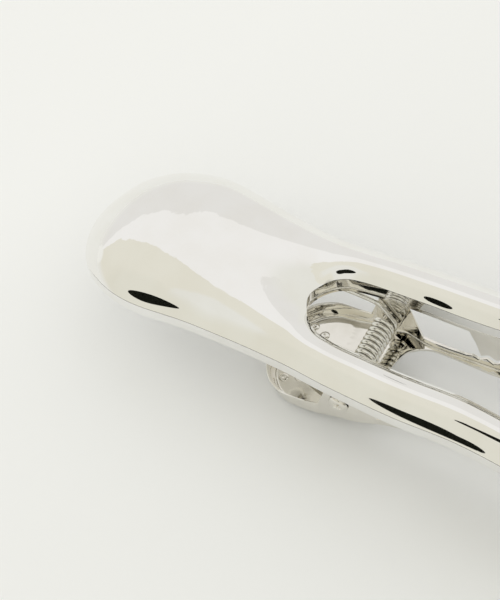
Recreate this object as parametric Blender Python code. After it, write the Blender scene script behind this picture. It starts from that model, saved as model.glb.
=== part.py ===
"""Large plated alligator hair clip: a domed loop-shaped shell on a sprung, stamped lever.

Axes: +X runs from the thumb end (bulb) to the jaw tip, +Y across, +Z up. Metres.
The design is laid out from the hinge axis, and then placed so that the clip stands on z = 0.
"""
import math

import bmesh
import bpy
import numpy as np

MM = 0.001
FINE_STEP = 0.05 * MM

# Driving dimensions, all measured from the hinge axis
TAIL_X = -57.5 * MM
TIP_X = 77.0 * MM
OPENING_START_X = -12.1 * MM
OPENING_END_X = 66.0 * MM
LEVER_TAIL_X = -18.3 * MM
LEVER_TIP_X = 72.0 * MM
SLOT_START_X = 4.3 * MM
SLOT_END_X = 64.0 * MM
HINGE_HEIGHT = 10.12 * MM
HINGE_X = -0.5 * (TAIL_X + TIP_X)

# Shell
SHEET = 0.7 * MM
SKIRT = 2.9 * MM
INNER_RISE = 1.0 * MM
DOME_LIMIT = 8.0 * MM
DOME_EDGE_SLOPE = 1.19
OUTER_REFERENCE = 16.0 * MM
INNER_REFERENCE = 8.0 * MM
GAP = 0.3 * MM
SHELL_STEP = 3.0 * MM
DOME_COLUMNS = 6
REAR_FAN_X = -2.0 * MM
FRONT_FAN_X = 58.0 * MM
FLOOR_SHARES = (0.25, 0.5, 0.75)

# Bracket under the shell, and its ears
BRACKET_START_X = -30.0 * MM
BRACKET_END_X = 70.0 * MM
BRACKET_SHEET = 0.8 * MM
BRACKET_LIP = 0.5 * MM
BRACKET_BEND = 0.3 * MM
BRACKET_STEP = 1.5 * MM
EAR_INNER_Y = 9.5 * MM
EAR_OUTER_Y = 10.1 * MM
EAR_TOP_REAR_X = -2.4 * MM
EAR_TOP_FRONT_X = 4.2 * MM
EAR_LOW_RADIUS = 2.6 * MM
TEETH_START_X = 16.0 * MM
TEETH_END_X = 56.0 * MM
TOOTH = 1.1 * MM
JAW_GAP = 0.6 * MM

# Lower lever
LEVER_STEP = 1.5 * MM
TRAY_WALL = 3.2 * MM
TRAY_FLARE = 1.1 * MM
FLARE_LENGTH = 6.0 * MM
FLOOR_BEND = 0.35 * MM
SLOT_FAN_X = 7.5 * MM
JAW_FLANGE = 1.3 * MM
TOOTHED_FLANGE = 2.2 * MM
LEVER_EAR_TOP = 6.4 * MM
EAR_REAR_FOOT_X = -4.2 * MM
EAR_REAR_TOP_X = -2.0 * MM
EAR_FRONT_TOP_X = 2.2 * MM
EAR_FRONT_FOOT_X = 7.2 * MM
BEND_REAR_X = -7.0 * MM
BEND_FRONT_X = 4.0 * MM
BUMP_RADIUS = 1.05 * MM
BUMP_HEIGHT = 0.45 * MM
BUMP_SINK = 0.08 * MM
BUMP_SPOTS = [(-13.8 * MM, 6.4 * MM), (-11.0 * MM, 5.2 * MM), (-15.0 * MM, 2.2 * MM)]

# Hinge
PIN_RADIUS = 1.1 * MM
HOLE_RADIUS = 1.19 * MM
HOLE_LENGTH = 40.0 * MM
HEAD_RADIUS = 1.95 * MM
HEAD_HEIGHT = 0.9 * MM
PIN_INNER_Y = 11.35 * MM
PEENED_RADIUS = 1.6 * MM
PEENED_HEIGHT = 0.8 * MM
WIRE_RADIUS = 0.48 * MM
COIL_RADIUS = 1.87 * MM
COIL_PITCH = 1.08 * MM
COIL_TURNS = 15.4
COIL_POINTS = 10
COIL_NEAR_Y = -8.3 * MM
COIL_FAR_Y = 8.7 * MM
LOWER_ARM = [(-8.9 * MM, -5.5 * MM), (-4.5 * MM, -7.2 * MM)]
UPPER_ARM = [
    (-1.9 * MM, 8.72 * MM, 4.7 * MM), (-5.9 * MM, 8.6 * MM, 5.3 * MM), (-10.5 * MM, 7.9 * MM, 6.0 * MM)]

# Rivets that hold the bracket to the shell
RIVET_RADIUS = 1.0 * MM
RIVET_HEAD_RADIUS = 1.8 * MM
RIVET_HEAD_HEIGHT = 0.8 * MM
RIVET_PEENED_RADIUS = 1.6 * MM
RIVET_PEENED_HEIGHT = 0.5 * MM
RIVET_SLACK = 0.55 * MM
RIVET_SPOTS = {
    "shell_rivet_rear": (-21.0 * MM, 0.0),
    "shell_rivet_left": (8.0 * MM, 10.9 * MM),
    "shell_rivet_right": (8.0 * MM, -10.9 * MM),
}


def smooth_curve(stations):
    """A cubic through (x, value) stations, with slopes taken from the neighbours."""
    xs = np.array([s[0] for s in stations]) * MM
    values = np.array([s[1] for s in stations])
    slopes = np.gradient(values, xs)

    def evaluate(x):
        x = np.clip(np.asarray(x, dtype=float), xs[0], xs[-1])
        i = np.clip(np.searchsorted(xs, x) - 1, 0, len(xs) - 2)
        h = xs[i + 1] - xs[i]
        t = (x - xs[i]) / h
        a = (1 + 2 * t) * (1 - t) ** 2
        b = t * (1 - t) ** 2
        c = t * t * (3 - 2 * t)
        d = t * t * (t - 1)
        return a * values[i] + b * h * slopes[i] + c * values[i + 1] + d * h * slopes[i + 1]

    return evaluate


class Outline:
    """A closed outline, symmetric about the X axis, given by its half-width along X (mm)."""

    def __init__(self, start, end, widths, power=0.5):
        self.start = start
        self.end = end
        self.power = power
        ratios = []
        for x, half in widths:
            ratios.append((x, half * MM / self.envelope(x * MM)))
        self.ratio = smooth_curve(ratios)

    def envelope(self, x):
        reach = np.maximum((x - self.start) * (self.end - x), 0.0)
        return reach ** self.power

    def half_width(self, x):
        return self.ratio(x) * self.envelope(x)

    def half(self, step):
        """Points of the +Y half, from start to end, at an even spacing along the outline."""
        angle = np.linspace(0.0, math.pi, 4001)
        x = self.start + (self.end - self.start) * 0.5 * (1 - np.cos(angle))
        y = self.half_width(x)
        length = np.concatenate([[0.0], np.cumsum(np.hypot(np.diff(x), np.diff(y)))])
        count = int(round(length[-1] / step))
        at = np.linspace(0.0, length[-1], count + 1)
        return np.column_stack([np.interp(at, length, x), np.interp(at, length, y)])

    def half_length(self, x):
        """Length along the +Y half up to x."""
        fine, length = self.measured_half()
        return np.interp(x, fine[:, 0], length)

    def measured_half(self):
        """Fine points of the +Y half, and the length along it at each."""
        fine = self.half(FINE_STEP)
        length = np.concatenate([[0.0], np.cumsum(np.hypot(*np.diff(fine, axis=0).T))])
        return fine, length

    def point_at(self, at):
        """The points that lie at given lengths along the +Y half."""
        fine, length = self.measured_half()
        return np.column_stack([np.interp(at, length, fine[:, 0]), np.interp(at, length, fine[:, 1])])


SHELL = Outline(TAIL_X, TIP_X, [
    (-57, 3.8), (-54, 9.9), (-50, 13.2), (-45, 15.4), (-39, 16.3), (-30, 15.5), (-20, 14.6),
    (-12, 14.4), (0, 15.3), (12, 15.9), (24, 16.0), (38, 16.8), (55, 15.2), (70, 9.6), (76, 4.0)])
OPENING = Outline(OPENING_START_X, OPENING_END_X, [
    (-11.6, 1.9), (-10.3, 4.2), (-8.5, 5.8), (-5, 6.9), (0, 7.3), (10, 7.6), (20, 7.6), (35, 8.9),
    (50, 8.4), (60, 5.6), (65, 2.3)])
BRACKET = Outline(BRACKET_START_X, BRACKET_END_X, [
    (-29, 3.2), (-20, 10.4), (0, 12.4), (20, 13.4), (38, 14.2), (55, 12.0), (66, 6.6), (69.5, 2.2)])
BRACKET_OPENING = Outline(OPENING_START_X - BRACKET_LIP, OPENING_END_X, [
    (-12, 2.8), (-10, 5.7), (-8, 7.1), (-5, 8.0), (0, 8.5), (10, 8.7), (20, 8.7), (35, 9.9),
    (50, 9.3), (60, 6.4), (65, 2.6)])
LEVER = Outline(LEVER_TAIL_X, LEVER_TIP_X, [
    (-18, 4.8), (-17, 7.5), (-15, 9.8), (-12, 11.3), (-8, 11.5), (-4, 11.3), (0, 11.05), (3, 11.05),
    (8, 10.0), (20, 9.4), (35, 10.6), (50, 9.9), (62, 6.9), (70, 3.0)], power=0.36)
SLOT = Outline(SLOT_START_X, SLOT_END_X, [
    (4.6, 3.4), (5.3, 5.7), (6.7, 7.2), (8.5, 8.1), (12, 8.3), (20, 7.7), (35, 8.8), (50, 8.1),
    (58, 5.2), (63, 2.0)], power=0.4)

# Heights above the hinge axis (mm): the shell's parting line, and the lever's floor
PARTING_LINE = smooth_curve([
    (-57.5, 6.6), (-50, 9.4), (-42, 11.0), (-36, 11.9), (-30, 12.0), (-22, 11.4), (-14, 11.1),
    (-6, 11.4), (2, 12.0), (12, 12.8), (24, 14.2), (34, 14.5), (45, 12.9), (60, 7.6), (70, 2.2),
    (77, -2.6)])
JAW_FLOOR = smooth_curve([
    (4, -3.5), (8, -2.5), (12, -1.5), (20, 0.0), (31, 1.0), (45, 0.2), (58, -3.2), (69, -9.3), (72, -9.6)])
TRAY_TAIL_Z = -9.8 * MM
TRAY_SLOPE = 0.2


def parting_z(x):
    return PARTING_LINE(x) * MM


def lever_floor_z(x):
    """Top of the lever's sheet: a flat tray, a short ramp under the hinge, and the arched jaw."""
    x = np.asarray(x, dtype=float)
    tray = TRAY_TAIL_Z + TRAY_SLOPE * (x - LEVER_TAIL_X)
    tray_end = TRAY_TAIL_Z + TRAY_SLOPE * (BEND_REAR_X - LEVER_TAIL_X)
    jaw_start = float(JAW_FLOOR(BEND_FRONT_X)) * MM
    share = np.clip((x - BEND_REAR_X) / (BEND_FRONT_X - BEND_REAR_X), 0.0, 1.0)
    ramp = tray_end + (jaw_start - tray_end) * share
    return np.where(x < BEND_REAR_X, tray, np.where(x > BEND_FRONT_X, JAW_FLOOR(x) * MM, ramp))


def edge_reaches(x, y):
    """How far a point lies inside the shell's outer edge, and how far from its opening."""
    outer = (SHELL.half_width(x) ** 2 - y ** 2) / (2 * OUTER_REFERENCE)
    inner = (y ** 2 - OPENING.half_width(x) ** 2) / (2 * INNER_REFERENCE)
    behind = (OPENING_START_X - x) * (OPENING_END_X - x) / (2 * INNER_REFERENCE)
    past = (x < OPENING_START_X) | (x > OPENING_END_X)
    ratio = OPENING.ratio(x)
    inner = np.where(past, (y ** 2) / (2 * INNER_REFERENCE) + np.abs(behind) * ratio ** 2, inner)
    return np.maximum(outer, 0.0), np.maximum(inner, 0.0)


def shell_base_z(x, y):
    """The surface that the shell's edges lie in: it rises from the outer edge to the opening."""
    outer, inner = edge_reaches(x, y)
    return parting_z(x) + INNER_RISE * outer / (outer + inner + 1e-9)


def shell_floor_z(x, y):
    """Underside of the shell."""
    return shell_base_z(x, y) - SKIRT


def dome_height(x, y):
    """Height of the shell's dome above the surface of its edges."""
    outer, inner = edge_reaches(x, y)
    reach = outer + inner - np.hypot(outer, inner)
    return DOME_LIMIT * (1 - np.exp(-DOME_EDGE_SLOPE * reach / DOME_LIMIT))


def mirrored_ring(half):
    """The +Y half of an outline and its mirror image, as one closed ring of points."""
    back = half[-2:0:-1] * np.array([1.0, -1.0])
    return np.vstack([half, back])


def paired_rings(outer, inner, step, rear_x, front_x):
    """Rings round two outlines, point for point.

    Between rear_x and front_x the pairs share their x. Past those they fan round the ends.
    """
    outer_half = outer.half(step)
    x = outer_half[:, 0]
    at_outer = outer.half_length(x)
    rear = inner.half_length(rear_x) / outer.half_length(rear_x)
    outer_end = outer.half_length(outer.end)
    inner_end = inner.half_length(inner.end)
    front = (inner_end - inner.half_length(front_x)) / (outer_end - outer.half_length(front_x))
    at = np.where(x < rear_x, at_outer * rear, inner.half_length(x))
    at = np.where(x > front_x, inner_end - (outer_end - at_outer) * front, at)
    inner_half = inner.point_at(at)
    inner_half[0] = (inner.start, 0.0)
    inner_half[-1] = (inner.end, 0.0)
    return mirrored_ring(outer_half), mirrored_ring(inner_half)


def along(outer, inner, distance):
    """Points that lie a distance (or one for each point) from the outer ring towards the inner."""
    span = inner - outer
    unit = span / np.linalg.norm(span, axis=1)[:, None]
    return outer + unit * np.reshape(distance, (-1, 1))


def between(outer, inner, share):
    return outer + (inner - outer) * np.reshape(share, (-1, 1))


def base_between(outer, inner, share):
    """Height of the edges' surface between the rings, with each ring exactly on its own edge."""
    points = between(outer, inner, share)
    if share == 0.0:
        return parting_z(points[:, 0])
    if share == 1.0:
        return parting_z(points[:, 0]) + INNER_RISE
    return shell_base_z(points[:, 0], points[:, 1])


def lift(points, heights):
    return np.column_stack([points, heights])


def ring_body(columns):
    """A closed mesh from closed rings: each ring is joined to the next, and the last to the first."""
    mesh = bmesh.new()
    rows = [[mesh.verts.new(p) for p in column] for column in columns]
    ring_count = len(rows)
    point_count = len(rows[0])
    for i in range(ring_count):
        here = rows[i]
        there = rows[(i + 1) % ring_count]
        for j in range(point_count):
            k = (j + 1) % point_count
            mesh.faces.new((here[j], here[k], there[k], there[j]))
    bmesh.ops.recalc_face_normals(mesh, faces=mesh.faces)
    return mesh


def make_object(name, mesh, material, collection, sharp_angle=35.0):
    """An object from a bmesh, placed with its origin on the hinge axis."""
    data = bpy.data.meshes.new(name)
    mesh.to_mesh(data)
    mesh.free()
    data.shade_smooth()
    data.set_sharp_from_angle(angle=math.radians(sharp_angle))
    data.materials.append(material)
    item = bpy.data.objects.new(name, data)
    item.location = (HINGE_X, 0.0, HINGE_HEIGHT)
    collection.objects.link(item)
    return item


def metal(name, colour, roughness):
    material = bpy.data.materials.new(name)
    material.use_nodes = True
    surface = material.node_tree.nodes["Principled BSDF"]
    surface.inputs["Base Color"].default_value = (*colour, 1.0)
    surface.inputs["Metallic"].default_value = 1.0
    surface.inputs["Roughness"].default_value = roughness
    return material


def cut(item, cutter, operation="DIFFERENCE"):
    modifier = item.modifiers.new(operation.lower() + "_" + cutter.name, "BOOLEAN")
    modifier.operation = operation
    modifier.solver = "EXACT"
    modifier.object = cutter


def make_cutter(name, mesh, collection):
    data = bpy.data.meshes.new(name)
    mesh.to_mesh(data)
    mesh.free()
    item = bpy.data.objects.new(name, data)
    item.location = (HINGE_X, 0.0, HINGE_HEIGHT)
    item.display_type = "WIRE"
    item.hide_render = True
    collection.objects.link(item)
    return item


def cylinder_y(radius, length, segments=24):
    """A bmesh cylinder along the hinge axis."""
    mesh = bmesh.new()
    bmesh.ops.create_cone(
        mesh, cap_ends=True, segments=segments, radius1=radius, radius2=radius, depth=length)
    for vertex in mesh.verts:
        across, up, away = vertex.co
        vertex.co = (across, away, -up)
    return mesh


def plate_y(outline, low, high):
    """A flat plate with an (x, z) outline, between two y values."""
    mesh = bmesh.new()
    bottom = [mesh.verts.new((x, low, z)) for x, z in outline]
    top = [mesh.verts.new((x, high, z)) for x, z in outline]
    mesh.faces.new(bottom)
    mesh.faces.new(top)
    count = len(outline)
    for i in range(count):
        j = (i + 1) % count
        mesh.faces.new((bottom[i], bottom[j], top[j], top[i]))
    bmesh.ops.recalc_face_normals(mesh, faces=mesh.faces)
    return mesh


def turned_y(profile, segments=24):
    """A body turned round the Y axis from (radius, y) points that start and end on the axis."""
    mesh = bmesh.new()
    rows = []
    for radius, y in profile[1:-1]:
        row = []
        for i in range(segments):
            angle = 2 * math.pi * i / segments
            row.append(mesh.verts.new((radius * math.cos(angle), y, radius * math.sin(angle))))
        rows.append(row)
    first = mesh.verts.new((0.0, profile[0][1], 0.0))
    last = mesh.verts.new((0.0, profile[-1][1], 0.0))
    for i in range(segments):
        j = (i + 1) % segments
        mesh.faces.new((first, rows[0][i], rows[0][j]))
        mesh.faces.new((last, rows[-1][j], rows[-1][i]))
        for here, there in zip(rows, rows[1:]):
            mesh.faces.new((here[i], there[i], there[j], here[j]))
    bmesh.ops.recalc_face_normals(mesh, faces=mesh.faces)
    return mesh


def build_top_shell(material, collection):
    outer, inner = paired_rings(SHELL, OPENING, SHELL_STEP, REAR_FAN_X, FRONT_FAN_X)
    shares = 0.5 - 0.5 * np.cos(np.linspace(0.0, math.pi, DOME_COLUMNS + 1))
    columns = []
    for share in shares:
        points = between(outer, inner, share)
        height = dome_height(points[:, 0], points[:, 1])
        if share in (shares[0], shares[-1]):
            height = 0.0 * height
        columns.append(lift(points, base_between(outer, inner, share) + height))
    inner_rim = along(inner, outer, SHEET)
    outer_rim = along(outer, inner, SHEET)
    for share in shares[::-1]:
        points = between(outer_rim, inner_rim, share)
        height = np.maximum(dome_height(points[:, 0], points[:, 1]) - SHEET, 0.0)
        if share in (shares[0], shares[-1]):
            height = 0.0 * height
        columns.append(lift(points, base_between(outer_rim, inner_rim, share) + height))
    return make_object("top_shell", ring_body(columns), material, collection)


def build_under_shell(material, collection, rivet_holes):
    outer, inner = paired_rings(SHELL, OPENING, SHELL_STEP, REAR_FAN_X, FRONT_FAN_X)
    bevel = 0.4 * MM
    outer_in = along(outer, inner, SHEET)
    inner_in = along(inner, outer, SHEET)
    outer_low = along(outer, inner, bevel)
    inner_low = along(inner, outer, bevel)

    def edge(points, drop, rise=0.0):
        return lift(points, parting_z(points[:, 0]) + rise - drop)

    def floor(share, above):
        return lift(between(outer, inner, share), base_between(outer, inner, share) - SKIRT + above)

    columns = [edge(outer, GAP), edge(outer, SKIRT - bevel), edge(outer_low, SKIRT)]
    columns += [floor(share, 0.0) for share in FLOOR_SHARES]
    columns += [edge(inner_low, SKIRT, INNER_RISE), edge(inner, SKIRT - bevel, INNER_RISE)]
    columns += [edge(inner, GAP, INNER_RISE), edge(inner_in, GAP, INNER_RISE)]
    columns += [edge(inner_in, SKIRT - SHEET, INNER_RISE)]
    columns += [floor(share, SHEET) for share in FLOOR_SHARES[::-1]]
    columns += [edge(outer_in, SKIRT - SHEET), edge(outer_in, GAP)]
    shell = make_object("under_shell", ring_body(columns), material, collection)
    for hole in rivet_holes:
        cut(shell, hole)
    return shell


def bracket_ear_outline():
    """The ear's (x, z) outline: wide where it leaves the plate, round under the hinge."""
    top = plate_z(0.0) - 0.5 * BRACKET_SHEET
    points = [(EAR_TOP_REAR_X, top), (EAR_TOP_FRONT_X, top)]
    for degrees in range(-10, -171, -20):
        angle = math.radians(degrees)
        points.append((EAR_LOW_RADIUS * math.cos(angle), EAR_LOW_RADIUS * math.sin(angle)))
    return points


def plate_z(x):
    """Top of the bracket's plate, just under the outer edge of the shell's floor."""
    return parting_z(x) - SKIRT - GAP


def build_upper_bracket(material, collection, guides, rivet_holes):
    outer, inner = paired_rings(BRACKET, BRACKET_OPENING, BRACKET_STEP, REAR_FAN_X, FRONT_FAN_X)
    middle = between(outer, inner, 0.5)
    lip = along(inner, outer, BRACKET_SHEET)
    x = inner[:, 0]
    toothed = (x > TEETH_START_X) & (x < TEETH_END_X)
    tooth = TOOTH * (np.arange(len(x)) % 2)
    jaw_top = lever_floor_z(x) + TOOTHED_FLANGE + JAW_GAP
    foot = np.where(toothed, jaw_top + tooth, plate_z(x) - BRACKET_SHEET - BRACKET_BEND)

    def plate(points, drop=0.0):
        return lift(points, plate_z(points[:, 0]) - drop)

    columns = [plate(outer), plate(middle), plate(inner), lift(inner, foot), lift(lip, foot)]
    columns += [plate(points, BRACKET_SHEET) for points in (lip, middle, outer)]
    bracket = make_object("upper_bracket", ring_body(columns), material, collection)
    ear_sides = (("left", EAR_INNER_Y, EAR_OUTER_Y), ("right", -EAR_OUTER_Y, -EAR_INNER_Y))
    for side, low, high in ear_sides:
        ear = make_cutter("bracket_ear_" + side, plate_y(bracket_ear_outline(), low, high), guides)
        cut(bracket, ear, "UNION")
    cut(bracket, make_cutter("bracket_hole", cylinder_y(HOLE_RADIUS, HOLE_LENGTH), guides))
    for rivet_cutter in rivet_holes:
        cut(bracket, rivet_cutter)
    return bracket


def rivet_hole(name, x, y, guides):
    mesh = bmesh.new()
    radius = RIVET_RADIUS + GAP
    bmesh.ops.create_cone(
        mesh, cap_ends=True, segments=16, radius1=radius, radius2=radius, depth=2 * SKIRT)
    bmesh.ops.translate(mesh, verts=mesh.verts, vec=(x, y, float(shell_floor_z(x, y))))
    return make_cutter(name, mesh, guides)


def build_rivet(name, x, y, material, collection):
    """A shank through the bracket and the shell's floor, with a low head at each end."""
    low = float(plate_z(x)) - BRACKET_SHEET - RIVET_SLACK
    high = float(shell_floor_z(x, y)) + SHEET + RIVET_SLACK
    profile = [
        (0.0, low - RIVET_HEAD_HEIGHT), (0.6 * RIVET_HEAD_RADIUS, low - 0.8 * RIVET_HEAD_HEIGHT),
        (RIVET_HEAD_RADIUS, low - 0.2 * RIVET_HEAD_HEIGHT), (RIVET_HEAD_RADIUS, low),
        (RIVET_RADIUS, low), (RIVET_RADIUS, high), (RIVET_PEENED_RADIUS, high),
        (0.8 * RIVET_PEENED_RADIUS, high + 0.8 * RIVET_PEENED_HEIGHT), (0.0, high + RIVET_PEENED_HEIGHT)]
    mesh = turned_y(profile, segments=16)
    for vertex in mesh.verts:
        across, up, away = vertex.co
        vertex.co = (x + across, y - away, up)
    return make_object(name, mesh, material, collection)


def lever_wall_top(x, index):
    """Height of the lever's turned-up wall: tray rim, hinge ear, jaw flange and saw teeth."""
    floor = lever_floor_z(x)
    rim = floor + TRAY_WALL
    flange = floor + JAW_FLANGE
    toothed = (x > TEETH_START_X) & (x < TEETH_END_X)
    teeth = floor + TOOTHED_FLANGE - TOOTH + TOOTH * (index % 2)
    top = np.where(x < 0.0, rim, np.where(toothed, teeth, flange))
    rear = (x - EAR_REAR_FOOT_X) / (EAR_REAR_TOP_X - EAR_REAR_FOOT_X)
    front = (EAR_FRONT_FOOT_X - x) / (EAR_FRONT_FOOT_X - EAR_FRONT_TOP_X)
    share = np.clip(np.minimum(rear, front), 0.0, 1.0)
    return top + (np.maximum(LEVER_EAR_TOP, top) - top) * share


def build_lower_lever(material, collection, guides):
    outer, inner = paired_rings(LEVER, SLOT, LEVER_STEP, SLOT_FAN_X, FRONT_FAN_X)
    half = np.arange(len(outer) // 2 + 1)
    index = np.concatenate([half, half[-2:0:-1]])
    flare = TRAY_FLARE * np.clip((EAR_REAR_FOOT_X - outer[:, 0]) / FLARE_LENGTH, 0.0, 1.0)
    foot = along(outer, inner, flare)
    foot_in = along(foot, inner, SHEET)
    bend_in = along(foot_in, inner, FLOOR_BEND)
    bend_out = along(foot, inner, FLOOR_BEND)
    wall_in = along(outer, inner, SHEET)
    wall_top = lever_wall_top(outer[:, 0], index)

    def ramp_rings(start):
        """Two rings across the floor. Behind the ramp, they follow the ramp's two bends."""
        behind = start[:, 0] < BEND_REAR_X
        reach = np.where(behind, inner[:, 0] - start[:, 0], 1.0)
        first = np.where(behind, (BEND_REAR_X - start[:, 0]) / reach, 1 / 3)
        second = np.where(behind, (BEND_FRONT_X - start[:, 0]) / reach, 2 / 3)
        return between(start, inner, first), between(start, inner, second)

    def floor(points, above=0.0):
        """The lever's sheet, worn flat where its two ends stand on the table."""
        return lift(points, np.maximum(lever_floor_z(points[:, 0]) + above, -HINGE_HEIGHT))

    columns = [lift(wall_in, wall_top), floor(foot_in, FLOOR_BEND), floor(bend_in)]
    columns += [floor(points) for points in (*ramp_rings(bend_in), inner)]
    columns += [floor(points, -SHEET) for points in (inner, *ramp_rings(bend_out)[::-1], bend_out)]
    columns += [floor(foot, FLOOR_BEND - SHEET), lift(outer, wall_top)]
    lever = make_object("lower_lever", ring_body(columns), material, collection)
    cut(lever, make_cutter("lever_hole", cylinder_y(HOLE_RADIUS, HOLE_LENGTH), guides))
    for i, (x, y) in enumerate(BUMP_SPOTS):
        for side, sign in (("left", 1), ("right", -1)):
            bump = tray_bump("tray_bump_%s_%d" % (side, i + 1), x, sign * y, guides)
            cut(lever, bump, "UNION")
    return lever


def tray_bump(name, x, y, guides):
    """A low dome pressed up in the tray as a finger grip."""
    mesh = bmesh.new()
    bmesh.ops.create_uvsphere(mesh, u_segments=12, v_segments=6, radius=1.0)
    bmesh.ops.scale(mesh, verts=mesh.verts, vec=(BUMP_RADIUS, BUMP_RADIUS, BUMP_HEIGHT))
    bmesh.ops.translate(mesh, verts=mesh.verts, vec=(x, y, float(lever_floor_z(x)) - BUMP_SINK))
    return make_cutter(name, mesh, guides)


def build_hinge_pin(material, collection):
    """A pin with a domed head on the -Y side, peened over on the +Y side."""
    profile = [(0.0, -PIN_INNER_Y - HEAD_HEIGHT)]
    for degrees in (22.5, 45.0, 67.5):
        angle = math.radians(degrees)
        profile.append((HEAD_RADIUS * math.sin(angle), -PIN_INNER_Y - HEAD_HEIGHT * math.cos(angle)))
    profile += [
        (HEAD_RADIUS, -PIN_INNER_Y), (PIN_RADIUS, -PIN_INNER_Y), (PIN_RADIUS, PIN_INNER_Y),
        (PEENED_RADIUS, PIN_INNER_Y), (0.8 * PEENED_RADIUS, PIN_INNER_Y + 0.8 * PEENED_HEIGHT),
        (0.0, PIN_INNER_Y + PEENED_HEIGHT)]
    return make_object("hinge_pin", turned_y(profile), material, collection)


def spring_path():
    """Lower arm, close-wound coil round the pin, and upper arm, as one line of points."""
    points = []
    for share, (x, y) in zip((0.0, 0.5), LOWER_ARM):
        tray_z = float(lever_floor_z(LOWER_ARM[0][0])) + WIRE_RADIUS + GAP
        points.append((x, y, tray_z + (-COIL_RADIUS - tray_z) * share))
    steps = int(COIL_TURNS * COIL_POINTS)
    spare = COIL_FAR_Y - COIL_NEAR_Y - COIL_PITCH * steps / COIL_POINTS
    for i in range(steps + 1):
        angle = 2 * math.pi * i / COIL_POINTS - 0.5 * math.pi
        last_turn = max(0.0, 1.0 + (i - steps) / COIL_POINTS)
        y = COIL_NEAR_Y + COIL_PITCH * i / COIL_POINTS + spare * last_turn
        points.append((COIL_RADIUS * math.cos(angle), y, COIL_RADIUS * math.sin(angle)))
    return points + UPPER_ARM


def build_torsion_spring(material, collection):
    curve = bpy.data.curves.new("torsion_spring", "CURVE")
    curve.dimensions = "3D"
    curve.bevel_depth = WIRE_RADIUS
    curve.bevel_resolution = 2
    curve.use_fill_caps = True
    points = spring_path()
    spline = curve.splines.new("POLY")
    spline.points.add(len(points) - 1)
    for point, place in zip(spline.points, points):
        point.co = (*place, 1.0)
    curve.materials.append(material)
    item = bpy.data.objects.new("torsion_spring", curve)
    item.location = (HINGE_X, 0.0, HINGE_HEIGHT)
    collection.objects.link(item)
    return item


def main():
    for item in list(bpy.data.objects):
        bpy.data.objects.remove(item, do_unlink=True)
    parts = bpy.data.collections.new("alligator_hair_clip")
    guides = bpy.data.collections.new("cutters")
    bpy.context.scene.collection.children.link(parts)
    bpy.context.scene.collection.children.link(guides)
    polished = metal("polished_plate", (0.86, 0.85, 0.80), 0.04)
    stamped = metal("stamped_plate", (0.80, 0.78, 0.72), 0.12)
    wire = metal("spring_wire", (0.76, 0.74, 0.68), 0.18)
    rivet_holes = [rivet_hole(name + "_hole", *spot, guides) for name, spot in RIVET_SPOTS.items()]
    build_top_shell(polished, parts)
    build_under_shell(polished, parts, rivet_holes)
    build_upper_bracket(stamped, parts, guides, rivet_holes)
    for name, (x, y) in RIVET_SPOTS.items():
        build_rivet(name, x, y, stamped, parts)
    build_lower_lever(stamped, parts, guides)
    build_hinge_pin(stamped, parts)
    build_torsion_spring(wire, parts)


main()
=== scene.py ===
"""Looks for the large plated alligator hair clip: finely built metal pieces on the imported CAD
frame, their plated finishes, a pale table, soft studio light and the camera.

Axes are the frame's: +X from the thumb end to the jaw tip, +Y across, +Z up. Metres.
The pieces repeat the design of the CAD part, which is laid out from the hinge axis.
"""

import math

import bmesh
import bpy
import numpy as np
from mathutils import Matrix, Vector


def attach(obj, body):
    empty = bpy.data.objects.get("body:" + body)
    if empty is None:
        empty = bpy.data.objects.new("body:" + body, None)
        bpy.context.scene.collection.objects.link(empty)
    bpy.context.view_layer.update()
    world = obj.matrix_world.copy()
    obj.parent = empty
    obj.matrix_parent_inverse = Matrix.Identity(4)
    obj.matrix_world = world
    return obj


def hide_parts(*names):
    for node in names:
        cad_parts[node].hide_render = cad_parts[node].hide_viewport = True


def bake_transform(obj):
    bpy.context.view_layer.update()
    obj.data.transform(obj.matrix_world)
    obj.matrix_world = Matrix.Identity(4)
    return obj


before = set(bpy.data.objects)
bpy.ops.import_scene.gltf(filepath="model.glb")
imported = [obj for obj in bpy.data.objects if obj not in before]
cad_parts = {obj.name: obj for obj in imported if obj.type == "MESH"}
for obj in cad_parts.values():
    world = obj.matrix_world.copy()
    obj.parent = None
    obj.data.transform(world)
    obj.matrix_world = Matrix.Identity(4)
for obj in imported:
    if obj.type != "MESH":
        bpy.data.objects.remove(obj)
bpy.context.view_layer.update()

MM = 0.001
FINE_STEP = 0.05 * MM
OUTLINE_SAMPLES = 4001

# Driving dimensions, all measured from the hinge axis
TAIL_X = -57.5 * MM
TIP_X = 77.0 * MM
OPENING_START_X = -12.1 * MM
OPENING_END_X = 66.0 * MM
LEVER_TAIL_X = -18.3 * MM
LEVER_TIP_X = 72.0 * MM
SLOT_START_X = 4.3 * MM
SLOT_END_X = 64.0 * MM
HINGE_HEIGHT = 10.12 * MM
HINGE = Vector((-0.5 * (TAIL_X + TIP_X), 0.0, HINGE_HEIGHT))

# Shell
SHEET = 0.7 * MM
SKIRT = 2.9 * MM
INNER_RISE = 1.0 * MM
DOME_LIMIT = 8.0 * MM
DOME_EDGE_SLOPE = 1.19
OUTER_REFERENCE = 16.0 * MM
INNER_REFERENCE = 8.0 * MM
SEAM = 0.12 * MM
GAP = 0.3 * MM
SHELL_STEP = 0.8 * MM
DOME_COLUMNS = 36
SHELL_FLOOR_SHARES = np.linspace(0.1, 0.9, 9)
HOLLOW_FLOOR_SHARES = (0.75, 0.5, 0.25)
SKIRT_BEVEL = 0.5 * MM
REAR_FAN_X = -2.0 * MM
FRONT_FAN_X = 58.0 * MM

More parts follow.
